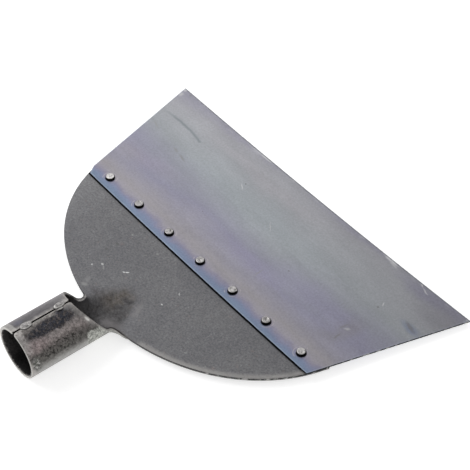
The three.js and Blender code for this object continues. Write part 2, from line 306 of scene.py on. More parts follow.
def blade_outline():
    rear = PLATE_ELLIPSE_AHEAD + BLADE_REAR_REACH
    rear_half = ELLIPSE_HALF * math.sqrt(1 - (rear / ELLIPSE_DEPTH) ** 2) + BLADE_REAR_OVERHANG
    clip_share = BLADE_CLIP_ALONG / (BLADE_EDGE_REACH + BLADE_REAR_REACH)
    clip_half = mix(rear_half, BLADE_EDGE_WIDTH / 2, clip_share)
    return [
        (-rear_half + BLADE_CLIP_ACROSS, -BLADE_REAR_REACH),
        (rear_half, -BLADE_REAR_REACH),
        (BLADE_EDGE_WIDTH / 2, BLADE_EDGE_REACH),
        (-BLADE_EDGE_WIDTH / 2, BLADE_EDGE_REACH),
        (-clip_half, -BLADE_REAR_REACH + BLADE_CLIP_ALONG),
    ]


def grind(mesh):
    """Grinds the top of the blade down towards its working edge."""
    for vertex in mesh.verts:
        share = 1 - (BLADE_EDGE_REACH - vertex.co.y) / BLADE_GRIND_WIDTH
        if share > 0 and vertex.co.z > -BLADE / 2:
            vertex.co.z -= share * BLADE_GRIND_DEPTH


def flat_blank(outline, holes, thickness):
    """A flat sheet below z = 0 with round holes, given as (x, y, radius)."""
    mesh = bmesh.new()
    corners = [mesh.verts.new((x, y, 0)) for x, y in outline]
    for here, there in zip(corners, corners[1:] + corners[:1]):
        mesh.edges.new((here, there))
    for x, y, radius in holes:
        place = Matrix.Translation((x, y, 0))
        bmesh.ops.create_circle(mesh, segments=HOLE_SIDES, radius=radius, matrix=place)
    bmesh.ops.triangle_fill(mesh, use_beauty=True, edges=mesh.edges[:], normal=(0, 0, 1))
    bmesh.ops.dissolve_limit(mesh, angle_limit=FLAT_ANGLE, verts=mesh.verts[:], edges=inner_edges(mesh))
    made = bmesh.ops.extrude_face_region(mesh, geom=mesh.faces[:])
    lower = [item for item in made["geom"] if isinstance(item, bmesh.types.BMVert)]
    bmesh.ops.translate(mesh, verts=lower, vec=(0, 0, -thickness))
    bmesh.ops.recalc_face_normals(mesh, faces=mesh.faces[:])
    for face in mesh.faces:
        face.material_index = 0 if abs(face.normal.z) > 0.5 else 1
    return mesh


def inner_edges(mesh):
    return [edge for edge in mesh.edges if len(edge.link_faces) == 2]


def rim_edges(mesh, low, high):
    """Edges between a flat side and a rim, at heights from low to high."""
    found = []
    for edge in mesh.edges:
        height = (edge.verts[0].co.z + edge.verts[1].co.z) / 2
        level = abs(edge.verts[0].co.z - edge.verts[1].co.z) < SEAT_GAP
        if level and low < height < high and edge.calc_face_angle(0) > RIM_ANGLE:
            found.append(edge)
    return found


def round_over(mesh, edges, width, segments):
    bmesh.ops.bevel(
        mesh, geom=edges, offset=width, offset_type="OFFSET", segments=segments,
        profile=0.5, affect="EDGES", material=-1, clamp_overlap=True,
    )


def near_hole(edge, holes):
    middle = (edge.verts[0].co + edge.verts[1].co) / 2
    return any(math.hypot(middle.x - x, middle.y - y) < radius * HOLE_NEARNESS for x, y, radius in holes)


def cut_across(mesh, way, places):
    """Cuts every face along lines square to a way, so that the sheet can be bent there."""
    axis = [float(way == other) for other in range(3)]
    for place in places:
        bmesh.ops.bisect_plane(
            mesh, geom=mesh.verts[:] + mesh.edges[:] + mesh.faces[:], dist=SAME_PLACE,
            plane_co=[place * value for value in axis], plane_no=axis,
        )


def lines(start, end, pitch):
    """Evenly spaced places between two ends, about a pitch apart."""
    count = max(1, round((end - start) / pitch))
    return [mix(start, end, i / count) for i in range(1, count)]


def cut_for_bending(mesh, cuts):
    for way, *span in cuts:
        cut_across(mesh, way, lines(*span))


def rim_distance(flat, outline):
    """Distance of each flat point to the outline."""
    best = np.full(len(flat), 1.0)
    ring = np.array(outline)
    for start, end in zip(ring, np.roll(ring, -1, axis=0)):
        side = end - start
        share = np.clip((flat[:, :2] - start) @ side / (side @ side), 0, 1)
        gap = np.linalg.norm(flat[:, :2] - start - share[:, None] * side, axis=1)
        best = np.minimum(best, gap)
    return best


def mesh_data(name, mesh):
    data = bpy.data.meshes.new(name)
    mesh.to_mesh(data)
    mesh.free()
    return data


def in_scene(data):
    made = bpy.data.objects.new(data.name, data)
    bpy.context.scene.collection.objects.link(made)
    return made


def keep(data, name, kind, field, values):
    """Keeps a value for each point of a mesh, for its finish to read."""
    data.attributes.new(name, kind, "POINT").data.foreach_set(field, values)


def bent(name, mesh, outline, surface, half_thickness):
    """The object that a blank becomes. It keeps each point's flat place and distance to the rim."""
    data = mesh_data(name, mesh)
    flat = np.empty(len(data.vertices) * 3)
    data.vertices.foreach_get("co", flat)
    flat = flat.reshape(-1, 3)
    t, y = flat[:, 0], flat[:, 1]
    offset = (flat[:, 2] + half_thickness)[:, None]
    placed = surface(t, y) + normal_of(surface, t, y) * offset
    placed[:, 1] += RIVET_LINE
    data.vertices.foreach_set("co", placed.ravel())
    keep(data, "flat", "FLOAT_VECTOR", "vector", (flat + [0, RIVET_LINE, 0]).ravel())
    keep(data, "rim", "FLOAT", "value", rim_distance(flat, outline))
    data.shade_smooth()
    data.set_sharp_from_angle(angle=SHEET_CREASE)
    return in_scene(data)


# Finishes, and short names for their nodes. Colours are screen values.


def is_output(value):
    return isinstance(value, bpy.types.NodeSocket)


def feed(socket, value):
    """Gives an input a value, or links another node's output to it."""
    if is_output(value):
        socket.id_data.links.new(value, socket)
    else:
        socket.default_value = value


def add(tree, kind, inputs=None, **settings):
    """A node. Inputs are values or other nodes' outputs, by name or number."""
    made = tree.nodes.new(kind)
    for name, value in settings.items():
        setattr(made, name, value)
    for key, value in (inputs or {}).items():
        feed(made.inputs[key], value)
    return made


def follow(kind, inputs, **settings):
    """A node in the tree of the outputs that it takes."""
    source = next(value for value in inputs.values() if is_output(value))
    return add(source.id_data, kind, inputs, **settings)


def new_finish(name, metallic, roughness):
    made = bpy.data.materials.new(name)
    made.use_nodes = True
    shader = made.node_tree.nodes["Principled BSDF"]
    shader.inputs["Metallic"].default_value = metallic
    shader.inputs["Roughness"].default_value = roughness
    return made, made.node_tree, shader


def coat(shader, colour, height, depth):
    """Gives a finish its colour and a skin as uneven as a height of this depth."""
    feed(shader.inputs["Base Color"], colour)
    bump = follow("ShaderNodeBump", {"Height": height, "Distance": depth, "Strength": 1.0})
    feed(shader.inputs["Normal"], bump.outputs[0])


def tone(colour):
    """A colour from screen values of 0 to 255. A node's colour stays as it is."""
    return colour if is_output(colour) else [*((value / 255) ** 2.2 for value in colour), 1]


def calc(operation, *values):
    return follow("ShaderNodeMath", dict(enumerate(values)), operation=operation).outputs[0]


def apart(a, b):
    return calc("ABSOLUTE", calc("SUBTRACT", a, b))


def vector_calc(operation, *values, output=0):
    inputs = dict(enumerate(values))
    return follow("ShaderNodeVectorMath", inputs, operation=operation).outputs[output]


def times(first, *others):
    """Masks and shares multiplied with each other."""
    for other in others:
        first = calc("MULTIPLY", first, other)
    return first


def flat_length(vector):
    """Length of a vector as seen from above."""
    return vector_calc("LENGTH", vector_calc("MULTIPLY", vector, (1, 1, 0)), output=1)


def spread(value, low, high, to_low, to_high, change="LINEAR"):
    """A value carried from one range to another, and held at its ends."""
    inputs = {"Value": value, "From Min": low, "From Max": high, "To Min": to_low, "To Max": to_high}
    return follow("ShaderNodeMapRange", inputs, interpolation_type=change).outputs[0]


def ramped(value, low, high):
    """0 below low and 1 above high, or the other way round, with a soft change between."""
    return spread(value, low, high, 0.0, 1.0, "SMOOTHSTEP")


def swung(noise, low, high):
    """A noise, which mostly lies between 0.3 and 0.7, carried to another range."""
    return spread(noise, 0.3, 0.7, low, high)


def scaled(colour, factor):
    colour = colour if is_output(colour) else tone(colour)[:3]
    return follow("ShaderNodeVectorMath", {0: colour, 3: factor}, operation="SCALE").outputs[0]


def grained(colour, noise, amount):
    """A colour made lighter and darker by up to this share, as a noise says."""
    return scaled(colour, swung(noise, 1 - amount, 1 + amount))


def ragged(mask, noise, soft, reach=0.35):
    """A mask whose soft border is broken up by a noise."""
    total = calc("ADD", mask, swung(noise, -reach, reach))
    return ramped(total, 0.5 - soft, 0.5 + soft)


def blend(share, under, over):
    return follow("ShaderNodeMix", {0: share, 6: tone(under), 7: tone(over)}, data_type="RGBA").outputs[2]


def washed(colour, over, *masks):
    """A colour with another over it, as thick as all the masks and shares allow."""
    return blend(times(*masks), colour, over)


def clouds(at, size, detail=3.0, roughness=0.5, stretch=(1, 1, 1)):
    """A noise whose blots are about this size, stretched along an axis by a share below 1."""
    placed = follow("ShaderNodeMapping", {"Vector": at, "Scale": stretch}, vector_type="POINT").outputs[0]
    inputs = {"Vector": placed, "Scale": 1 / size, "Detail": detail, "Roughness": roughness}
    return follow("ShaderNodeTexNoise", inputs).outputs[0]


def stirred(at, size, amount):
    """The same places, moved about a little, so that a border in them is uneven."""
    inputs = {"Vector": at, "Scale": 1 / size, "Detail": 3.0}
    shift = follow("ShaderNodeTexNoise", inputs).outputs[1]
    shift = vector_calc("SUBTRACT", shift, (0.5, 0.5, 0.5))
    shift = vector_calc("MULTIPLY", shift, (amount, amount, amount))
    return vector_calc("ADD", at, shift)


def colour_stops(value, stops):
    """A colour that changes evenly from stop to stop. Each stop is a value and its colour."""
    made = follow("ShaderNodeValToRGB", {0: value})
    ramp = made.color_ramp
    for end in (0, -1):
        ramp.elements[end].position = stops[end][0]
        ramp.elements[end].color = tone(stops[end][1:])
    for position, *colour in stops[1:-1]:
        ramp.elements.new(position).color = tone(colour)
    return made.outputs[0]


def own_place(tree):
    return add(tree, "ShaderNodeTexCoord").outputs["Object"]


def kept(tree, name, output="Fac"):
    """What a mesh keeps for each of its points."""
    return add(tree, "ShaderNodeAttribute", attribute_name=name).outputs[output]


def parts(at):
    return follow("ShaderNodeSeparateXYZ", {0: at}).outputs


def facing_up(tree):
    return parts(add(tree, "ShaderNodeNewGeometry").outputs["Normal"])[2]


def zone(at, sides):
    """1 in a zone and 0 outside. Each side is a way, and where the zone starts and is full."""
    place = parts(at)
    return times(*(ramped(place[way], start, full) for way, start, full in sides))


# Ovals are in millimetres: where their middle is in the frame, how far they reach to each side
# along and across, and how they are turned. soft is the share of the reach over which they fade.
MM = 0.001


def patch(at, x, y, reach, side_reach, turn, soft):
    """1 inside an oval and 0 outside."""
    inputs = {"Vector": at, "Location": (x * MM, y * MM, 0), "Rotation": (0, 0, turn)}
    inputs["Scale"] = (reach * MM, side_reach * MM, 1)
    placed = follow("ShaderNodeMapping", inputs, vector_type="TEXTURE").outputs[0]
    return ramped(flat_length(placed), 1.0, 1.0 - soft)


def patched(at, colour, patches):
    """Ovals over a colour, each followed by its softness, share and colour."""
    for *oval, share, over in patches:
        colour = washed(colour, over, patch(at, *oval), share)
    return colour


def marked(at, colour, marks, soft, share, blue):
    """Ovals over a colour, each followed by its grey, which is made this much bluer."""
    for *oval, level in marks:
        mark = patch(at, *oval, soft)
        colour = washed(colour, (level, level, level + blue), mark, share)
    return colour


# Marks on the plate, as ovals with grey levels.
PLATE_MARKS = [
    (-48.8, 0.0, 1.4, 1.0, 0.0, 142),
    (-23.8, 2.6, 1.3, 1.1, 0.5, 136),
    (-27.8, -4.6, 2.2, 0.6, 0.7, 128),
    (-22.1, -23.4, 1.8, 0.7, 0.8, 212),
    (-23.8, -24.9, 1.3, 0.6, 0.4, 196),
    (-20.0, -29.0, 4.5, 0.4, -0.5, 126),
    (14.6, -8.2, 1.8, 0.6, -0.6, 168),
    (15.0, -22.6, 1.1, 0.7, 0.0, 204),
    (-38.6, -31.8, 1.4, 0.9, 0.0, 184),
    (-35.5, -33.0, 3.0, 0.5, -0.5, 140),
    (-42.6, -37.4, 0.9, 0.8, 0.0, 182),
    (-31.2, -51.5, 3.4, 1.8, 0.4, 134),
    (57.5, -35.8, 1.6, 0.8, 0.6, 138),
    (74.4, -33.0, 1.2, 0.9, 0.0, 132),
    (84.0, -15.2, 2.0, 0.9, 0.9, 118),
    (-48.0, -13.0, 2.2, 1.4, 0.0, 100),
    (-48.5, -21.6, 1.6, 1.3, 0.0, 99),
]
# Where the plate is painted paler, as light on the lamps' side.
PAINTED_LIGHT_FAR_END = [(ACROSS, -0.07, -0.125)]


def plate_grey(at):
    """Dull mill scale: even grey with a fine grain, faint clouds, warm spots and light flecks, and painted
    light that makes its far end paler.
    """
    cloud = clouds(at, 0.03, 4.0)
    colour = colour_stops(cloud, [(0.35, 108, 108, 111), (0.65, 115, 115, 117)])
    # Painted light: paler towards the far end, on the lamps' side.
    colour = washed(colour, (126, 126, 128), zone(at, PAINTED_LIGHT_FAR_END))
    warm = ramped(clouds(at, 0.004, 3.0), 0.64, 0.74)
    colour = washed(colour, (126, 114, 112), warm, 0.5)
    flecks = ramped(clouds(at, 0.0011, 3.0, 0.6), 0.57, 0.68)
    flecked = ramped(clouds(at, 0.02, 3.0), 0.46, 0.62)
    colour = washed(colour, (152, 151, 152), flecks, flecked, 0.55)
    grain = clouds(at, 0.0014, 5.0, 0.75)
    colour = grained(colour, grain, 0.5)
    return grained(colour, clouds(at, 0.005, 4.0, 0.65), 0.1), grain


# The heat tint starts at a tip on the plate and widens towards the neck.
TINT_TIP_Y = -0.029
TINT_FOOT_Y = -0.062
TINT_MIDDLE_X = -0.0036
TINT_TIP_HALF = 0.0066
TINT_FOOT_HALF = 0.0195
TINT_BORDER = (0.0045, -0.0055)
TINT_TIP = [(ALONG, TINT_TIP_Y + 0.003, TINT_TIP_Y - 0.009)]
TINT_BROWN = [(ALONG, -0.056, -0.046)]
TINT_SPOT = [(4.5, -41.5, 8.5, 5.0, 0.0, 0.8, 0.6, (72, 71, 72))]
TINT_SMOKE = (-20.5, -48.8, 11.5, 8.5, 0.4, 0.9)
TINT_SHINES = [
    (8.5, -58.0, 17.0, 8.0, 0.0, 0.9, 0.6, (124, 121, 122)),
    (9.8, -37.5, 3.4, 10.5, 0.5, 0.95, 0.5, (134, 131, 132)),
    (-33.3, -47.3, 4.5, 2.0, -0.7, 0.8, 0.5, (140, 139, 140)),
]


def heat_tint(at, colour):
    """The dark brown flame that the heat and the press leave in the trough."""
    blots = clouds(at, 0.003, 5.0, 0.75)
    loose = stirred(at, 0.009, 0.009)
    x, y, _ = parts(loose)
    half = spread(y, TINT_TIP_Y, TINT_FOOT_Y, TINT_TIP_HALF, TINT_FOOT_HALF)
    off = apart(x, TINT_MIDDLE_X)
    inside = ramped(calc("SUBTRACT", off, half), *TINT_BORDER)
    warmer = spread(x, -0.014, 0.002, 0.2, -0.1)
    warm = calc("ADD", clouds(at, 0.01, 4.0, 0.6), warmer)
    warm = times(ramped(warm, 0.42, 0.6), zone(loose, TINT_BROWN))
    brown = blend(warm, (65, 63, 63), (94, 88, 82))
    brown = grained(brown, blots, 0.5)
    brown = grained(brown, clouds(at, 0.0013, 5.0, 0.8), 0.5)
    brown = patched(at, brown, TINT_SPOT)
    thick = spread(blots, 0.35, 0.6, 1.0, 0.65)
    colour = washed(colour, brown, inside, zone(loose, TINT_TIP), thick, 0.95)
    stir = stirred(at, 0.003, 0.003)
    thin = spread(blots, 0.38, 0.58, 0.7, 0.0)
    colour = washed(colour, (82, 78, 81), patch(stir, *TINT_SMOKE), thin)
    return patched(stir, colour, TINT_SHINES)


# Grey levels round the near side of the socket, by the distance along the sheet from its middle. The light
# from 14 to 25 mm is painted reflection of the floor, and the light band at about 40 mm is painted
# highlight; the dark bands between are scale.
SOCKET_BANDS = [
    (0.0, 126, 125, 124),
    (0.014, 156, 155, 153),
    (0.021, 176, 175, 173),
    (0.0235, 166, 165, 163),
    (0.025, 152, 151, 148),
    (0.027, 126, 124, 121),
    (0.029, 100, 98, 95),
    (0.031, 88, 86, 83),
    (0.035, 98, 94, 92),
    (0.0375, 126, 119, 117),
    (0.0395, 155, 147, 145),
    (0.043, 140, 134, 133),
    (0.046, 112, 108, 108),
    (0.0505, 118, 114, 112),
    (0.0525, 140, 136, 133),
    (0.054, 148, 145, 142),
]
SOCKET_SIDE = SOCKET_BANDS[-1][0]
NEAR_MOUTH = [(ALONG, -0.1155, -0.1195)]
PINK_PATCH = [(40.5, -113.0, 6.5, 12.0, 0.0, 0.8, 0.5, (158, 142, 142))]
PALE_PATCH = [(49.0, -120.5, 7.5, 5.0, 0.0, 0.6, 0.8, (168, 164, 162))]
PIT_ZONE = (33.0, -99.0, 7.5, 24.0, 0.0, 0.7)
PITTED_MOUTH = (33.8, -119.0, 4.2, 20.0, 0.0, 0.4)
FLECKED_MOUTH = (29.0, -118.3, 8.5, 4.2, 0.0, 0.8)
DARK_MIDDLE = (46.9, -99.0, 5.9, 25.5, 0.0, 0.6)
DARK_FRONT = (51.2, -87.2, 5.5, 9.2, 0.0, 0.6)
DARK_END = [(ALONG, -0.0765, -0.0825)]


def near_side(at, stir):
    """The near side of the socket: bands of scale and painted light, with a dark blue patch and pitted
    spots.
    """
    share = calc("DIVIDE", parts(stir)[0], SOCKET_SIDE)
    colour = colour_stops(share, [(place / SOCKET_SIDE, *grey) for place, *grey in SOCKET_BANDS])
    colour = patched(stir, colour, PINK_PATCH)
    pits = ramped(clouds(at, 0.0019, 4.0, 0.6), 0.5, 0.41)
    colour = washed(colour, (44, 43, 41), pits, patch(stir, *PIT_ZONE))
    fine = clouds(at, 0.002, 5.0, 0.7)
    uneven = spread(fine, 0.35, 0.6, 0.4, 1.0)
    spared = spread(patch(at, *PITTED_MOUTH), 0.0, 1.0, 1.0, 0.1)
    mouth = zone(stir, NEAR_MOUTH)
    colour = washed(colour, (188, 182, 180), mouth, 0.6, uneven, spared)
    colour = patched(stir, colour, PALE_PATCH)
    flecks = blend(ramped(fine, 0.5, 0.6), (88, 89, 85), (180, 179, 176))
    colour = washed(colour, flecks, patch(stir, *FLECKED_MOUTH), 0.9)
    dark = calc("MAXIMUM", patch(stir, *DARK_MIDDLE), patch(stir, *DARK_FRONT))
    dark = times(dark, zone(stir, DARK_END))
    scale = blend(ramped(fine, 0.44, 0.62), (58, 60, 68), (100, 94, 92))
    scale = grained(scale, clouds(at, 0.0012, 4.0, 0.7), 0.4)
    return blend(ragged(dark, fine, 0.26, 0.55), colour, scale)


SCUFF_START = [(ALONG, -0.0818, -0.0806)]
SCUFF_SIDES = [(ACROSS, 0.0335, 0.0285), (ACROSS, 0.004, 0.012)]


def scuffed_flap(at, stir, colour):
    """The pale scuffed spot where the socket runs out into the notch."""
    mask = times(zone(at, SCUFF_START), zone(stir, SCUFF_SIDES))
    hatch = clouds(at, 0.0013, 4.0, 0.7, (0.6, 1, 1))
    pale = grained((168, 169, 163), hatch, 0.8)
    fine = clouds(at, 0.0016, 4.0, 0.7)
    return blend(ragged(mask, fine, 0.25), colour, pale)


# Grey levels round the far side of the socket, by the share of the way from its middle to its seam. The
# light band at about two thirds of the way is painted highlight near the far side's outline.
FAR_BANDS = [
    (0.0, 126, 125, 124),
    (0.66, 143, 141, 143),
    (0.8, 130, 127, 130),
    (0.94, 98, 96, 98),
    (1.0, 150, 147, 146),
]
FAR_PATCHES = [
    (-48.0, -114.5, 4.0, 5.0, 0.0, 0.8, 0.5, (104, 105, 120)),
    (-51.5, -81.0, 4.5, 3.5, 0.0, 0.7, 0.6, (160, 157, 154)),
]
FAR_FRONT = [(ALONG, -0.094, -0.078)]
FAR_MOUTH = [(ALONG, -0.118, -0.119)]


def far_side(at, stir):
    """The far side of the socket, with painted highlight near its outline, paler at its front and along its
    mouth.
    """
    share = calc("DIVIDE", parts(stir)[0], -SOCKET_SIDE)
    colour = colour_stops(share, FAR_BANDS)
    colour = washed(colour, (176, 174, 174), zone(stir, FAR_FRONT), 0.35)
    colour = patched(stir, colour, FAR_PATCHES)
    return washed(colour, (170, 168, 165), zone(at, FAR_MOUTH), 0.75)


FAR_HALF = [(ACROSS, 0.002, -0.002)]
ROUGH_SIDE = [(ACROSS, 0.024, 0.031)]


def socket_mottle(at):
    """Outside of the socket: two sides of scale, most uneven low on the near side."""
    stir = stirred(at, 0.0035, 0.0035)
    near = scuffed_flap(at, stir, near_side(at, stir))
    colour = blend(zone(at, FAR_HALF), near, far_side(at, stir))
    fine = clouds(at, 0.0018, 5.0, 0.75)
    amount = spread(zone(at, ROUGH_SIDE), 0.0, 1.0, 0.2, 0.75)
    factor = calc("MULTIPLY_ADD", amount, swung(fine, -1.0, 1.0), 1.0)
    colour = scaled(colour, factor)
    return grained(colour, clouds(at, 0.006, 4.0, 0.6), 0.15), fine


# Zones of the plate's upper side, in the frame, and how far its rims show wear.
NEAR_HALF = [(ACROSS, 0.02, 0.07)]
NEAR_RIM_WEAR = (0.0032, 0.0008)
FLANK = [(ACROSS, 0.013, 0.021), (ALONG, -0.074, -0.068), (ALONG, -0.054, -0.06)]
INSIDE = [(ALONG, RIVET_LINE + ROOT_Y + 0.004, RIVET_LINE + FLAP_FRONT_Y - 0.006)]
LIT_INSIDE = [(ACROSS, -0.008, -0.014)]
FAR_NOTCH = [(ALONG, -0.056, -0.059), (ALONG, -0.068, -0.0655), (ACROSS, -0.01, -0.018)]
FAR_NOTCH_WEAR = (0.0018, 0.0011)
# Painted shadow: a near black line on the plate just behind the blade's rear edge, where the blade shades
# it.
BLADE_REAR_SHADOW = [(ALONG, BLADE_REAR_Y - 0.0012, BLADE_REAR_Y - 0.0004)]


def plate_top(at, plate, grain, rim):
    """Upper side: the marked plate, the tinted trough, the inside of the neck in dark scale and painted
    shade, and a painted shadow line just behind the blade.
    """
    stir = stirred(at, 0.0012, 0.0009)
    upper = heat_tint(at, marked(stir, plate, PLATE_MARKS, 0.6, 1.0, 0))
    broken = spread(grain, 0.38, 0.58, 0.1, 0.8)
    near_rim = times(ramped(rim, *NEAR_RIM_WEAR), zone(at, NEAR_HALF), broken)
    upper = blend(near_rim, upper, (158, 158, 157))
    flank = zone(at, FLANK)
    upper = blend(flank, upper, grained((126, 123, 123), grain, 0.4))
    spared = spread(flank, 0.0, 1.0, 1.0, 0.15)
    # Inside the neck: dark scale with painted shade, lighter on its far side as painted light; the near
    # flank is mostly spared.
    shade = blend(zone(at, LIT_INSIDE), (40, 39, 39), (66, 64, 64))
    shade = grained(shade, grain, 0.8)
    upper = washed(upper, shade, zone(at, INSIDE), spared)
    notch = times(zone(at, FAR_NOTCH), ramped(rim, *FAR_NOTCH_WEAR))
    upper = blend(notch, upper, (225, 222, 220))
    # Painted shadow behind the blade's rear edge.
    return blend(zone(at, BLADE_REAR_SHADOW), upper, (20, 22, 26))


# Wear on the socket and its flaps: zones, and the reach of the wear from the rim.
FLAP_WEAR = [(ALONG, -0.09, -0.084), (ACROSS, 0.03, 0.036)]
FLAP_WEAR_REACH = (0.005, 0.0014)
FLAP_TIP = (39.2, -77.5, 2.8, 1.3, -0.48, 0.7)
SOCKET_RIM = [(ALONG, -0.055, -0.064)]
SOCKET_RIM_REACH = (0.0013, 0.0003)


def worn_flaps(at, colour, fine, rim):
    """Pale wear on the near flap, a bright spot at its tip and a band along the socket's rims."""
    gap = calc("ADD", rim, swung(fine, 0.0008, -0.0008))
    near_flap = times(ramped(gap, *FLAP_WEAR_REACH), zone(at, FLAP_WEAR))
    colour = washed(colour, (160, 157, 155), near_flap, 0.6)
    colour = blend(patch(at, *FLAP_TIP), colour, (238, 236, 232))
    band = times(ramped(gap, *SOCKET_RIM_REACH), zone(at, SOCKET_RIM))
    uneven = spread(fine, 0.35, 0.6, 0.25, 0.8)
    return washed(colour, (168, 165, 161), band, uneven)


UNDER_SOCKET = [(ALONG, -0.048, -0.068)]
UNDERSIDE = [(THROUGH, -SHEET * 0.45, -SHEET * 0.55)]


def plate_finish():
    made, tree, shader = new_finish("mill_scale", 0.75, 0.55)
    at = kept(tree, "flat", "Vector")
    rim = kept(tree, "rim")
    plate, grain = plate_grey(at)
    outside, fine = socket_mottle(at)
    under = blend(zone(at, UNDER_SOCKET), plate, outside)
    upper = plate_top(at, plate, grain, rim)
    colour = blend(zone(at, UNDERSIDE), upper, under)
    colour = worn_flaps(at, colour, fine, rim)
    feed(shader.inputs["Roughness"], swung(grain, 0.48, 0.64))
    coat(shader, colour, calc("ADD", grain, fine), 0.00004)
    return made


# Zones of the cut rims, in the frame.
REAR_RIM = [(ALONG, -0.0555, -0.059)]
FAR_NOTCH_RIM = [(ALONG, -0.052, -0.056), (ALONG, -0.072, -0.066), (ACROSS, -0.01, -0.02)]
NEAR_NOTCH_RIM = [*REAR_RIM, (ACROSS, 0.01, 0.02), (THROUGH, -0.0011, -0.0008)]
SEAM_RIM = [(ALONG, -0.074, -0.078)]
SEAM_SHADE_SPAN = (0.0528, 0.0534)
WORN_SPOTS_FADE = 0.004

# Dark, light and worn greys of each sheet's rim, and where its worn spots start.
PLATE_RIM = ((44, 44, 46), (170, 170, 168), (188, 186, 182), 0.075)
# The blade's rim is near black all over: dark blued scale, and painted shade for its rear edge in the gap's
# shadow.
BLADE_RIM = ((14, 20, 28), (30, 34, 42), (14, 20, 28), 0.119)


def sheared_rim(name, dark, light, worn, worn_from):
    """The cut rim of a sheet: dark and smeared above, broken and lighter below, streaked across, with
    painted shade on the lips of the socket's seam.
    """
    made, tree, shader = new_finish(name, 0.8, 0.5)
    at = kept(tree, "flat", "Vector")
    x, _, depth = parts(at)
    streaks = clouds(at, 0.0012, 3.0, 0.6, (1, 1, 0.15))
    level = calc("ADD", depth, swung(streaks, -0.0004, 0.0004))
    lower = ramped(level, -SHEET * 0.45, -SHEET * 0.75)
    rear = zone(at, REAR_RIM)
    below = grained(blend(rear, light, worn), streaks, 0.3)
    colour = blend(lower, blend(rear, dark, worn), below)
    colour = washed(colour, (14, 13, 13), zone(at, FAR_NOTCH_RIM))
    colour = washed(colour, (66, 64, 63), zone(at, NEAR_NOTCH_RIM))
    colour = washed(colour, light, ramped(streaks, 0.6, 0.75))
    spots = ramped(clouds(at, 0.0045, 3.0, 0.6), 0.5, 0.62)
    near = ramped(x, worn_from, worn_from + WORN_SPOTS_FADE)
    colour = washed(colour, (190, 189, 187), spots, near, 0.6)
    # Painted shade in the seam's narrow gap: its two lips near black.
    lips = ramped(calc("ABSOLUTE", x), *SEAM_SHADE_SPAN)
    colour = washed(colour, (24, 23, 23), lips, zone(at, SEAM_RIM))
    coat(shader, colour, streaks, 0.00008)
    return made


# The blade's bands of temper colour, from the rear edge to the working edge.
TEMPER_SHARES = [
    (0.0, 108, 122, 142),
    (0.03, 110, 120, 142),
    (0.055, 118, 120, 140),
    (0.075, 127, 124, 138),
    (0.1, 136, 133, 140),
    (0.14, 135, 132, 136),
    (0.22, 131, 129, 138),
    (0.33, 128, 127, 142),
    (0.45, 132, 133, 143),
    (0.6, 137, 140, 144),
    (0.85, 142, 143, 147),
    (0.95, 140, 140, 145),
    (1.0, 135, 134, 144),
]

# Soft spots of temper colour on the blade.
TEMPER_SPOTS = [
    (-98.0, 54.0, 38.0, 12.0, 0.1, 0.9, 0.5, (135, 130, 145)),
    (120.0, 116.0, 40.0, 10.0, 0.0, 0.9, 0.6, (116, 114, 132)),
    (85.0, 58.0, 70.0, 15.0, 0.0, 0.9, 0.45, (126, 123, 144)),
    (20.0, 48.0, 50.0, 10.0, 0.0, 0.9, 0.4, (128, 124, 145)),
    (-20.0, 80.0, 120.0, 20.0, 0.0, 0.9, 0.5, (138, 144, 148)),
    (131.0, 87.5, 12.0, 6.0, 0.1, 0.9, 0.65, (106, 114, 138)),
    (-40.0, 104.0, 100.0, 10.0, 0.0, 0.9, 0.4, (148, 145, 150)),
    (107.0, 55.0, 10.0, 20.0, 0.1, 0.9, 0.5, (124, 122, 126)),
    (135.0, 107.0, 30.0, 16.0, 0.0, 0.9, 0.5, (122, 121, 128)),
    (100.0, 44.0, 12.0, 8.0, 0.2, 0.9, 0.45, (118, 116, 123)),
    (-120.0, 48.0, 22.0, 14.0, 0.0, 0.9, 0.4, (134, 131, 136)),
]
WAVY_AHEAD = [(ALONG, BLADE_REAR_Y + 0.01, BLADE_REAR_Y + 0.04)]


def temper_bands(at):
    """Temper colours along the blade, in slow waves with small lobes, and soft spots on them."""
    waves = clouds(at, 0.08, 2.0, 0.5, (0.6, 1.8, 1))
    waves = times(spread(waves, 0.2, 0.8, -0.018, 0.018), zone(at, WAVY_AHEAD))
    lobes = spread(clouds(at, 0.01, 3.0, 0.6), 0.2, 0.8, -0.0026, 0.0026)
    y = calc("ADD", calc("ADD", parts(at)[1], lobes), waves)
    share = spread(y, BLADE_REAR_Y, BLADE_FRONT_Y, 0.0, 1.0)
    colour = colour_stops(share, TEMPER_SHARES)
    return patched(stirred(at, 0.02, 0.014), colour, TEMPER_SPOTS)


